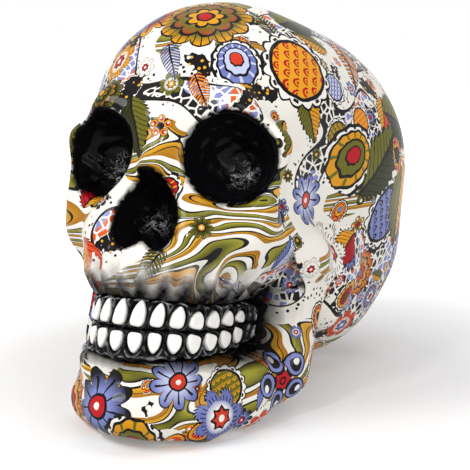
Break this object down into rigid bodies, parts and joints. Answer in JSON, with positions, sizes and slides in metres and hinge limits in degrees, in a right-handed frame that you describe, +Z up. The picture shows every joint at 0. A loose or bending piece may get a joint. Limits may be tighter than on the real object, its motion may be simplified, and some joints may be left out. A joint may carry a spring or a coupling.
{
  "type": "decorative resin skull",
  "caption": "Life-like human skull ornament in painted resin with bared teeth, leaning back on its jaw corners and the back of its head.",
  "frame": {"origin": "middle of the footprint box, on the surface the skull stands on", "axes": "+Z up, the face looks towards -Y, +X is the skull's own left"},
  "size_m": [0.1016, 0.1566, 0.1237],
  "materials": {
    "printed_resin": "cast polyester resin, white ground with a floral print under clear gloss varnish",
    "black_enamel": "thick black gloss enamel",
    "white_enamel": "white gloss enamel",
    "foam_pad": "matt grey foam rubber"
  },
  "bodies": {
    "root": {"cranium": "printed_resin", "heel_pad": "foam_pad", "left_jaw_pad": "foam_pad", "left_orbit_lining": "black_enamel", "lower_gum": "black_enamel", "lower_left_tooth_1": "white_enamel", "lower_left_tooth_2": "white_enamel", "lower_left_tooth_3": "white_enamel", "lower_left_tooth_4": "white_enamel", "lower_left_tooth_5": "white_enamel", "lower_left_tooth_6": "white_enamel", "lower_left_tooth_7": "white_enamel", "lower_right_tooth_1": "white_enamel", "lower_right_tooth_2": "white_enamel", "lower_right_tooth_3": "white_enamel", "lower_right_tooth_4": "white_enamel", "lower_right_tooth_5": "white_enamel", "lower_right_tooth_6": "white_enamel", "lower_right_tooth_7": "white_enamel", "mandible": "printed_resin", "nasal_lining": "black_enamel", "right_jaw_pad": "foam_pad", "right_orbit_lining": "black_enamel", "upper_gum": "black_enamel", "upper_left_tooth_1": "white_enamel", "upper_left_tooth_2": "white_enamel", "upper_left_tooth_3": "white_enamel", "upper_left_tooth_4": "white_enamel", "upper_left_tooth_5": "white_enamel", "upper_left_tooth_6": "white_enamel", "upper_left_tooth_7": "white_enamel", "upper_right_tooth_1": "white_enamel", "upper_right_tooth_2": "white_enamel", "upper_right_tooth_3": "white_enamel", "upper_right_tooth_4": "white_enamel", "upper_right_tooth_5": "white_enamel", "upper_right_tooth_6": "white_enamel", "upper_right_tooth_7": "white_enamel"}
  },
  "joints": []
}
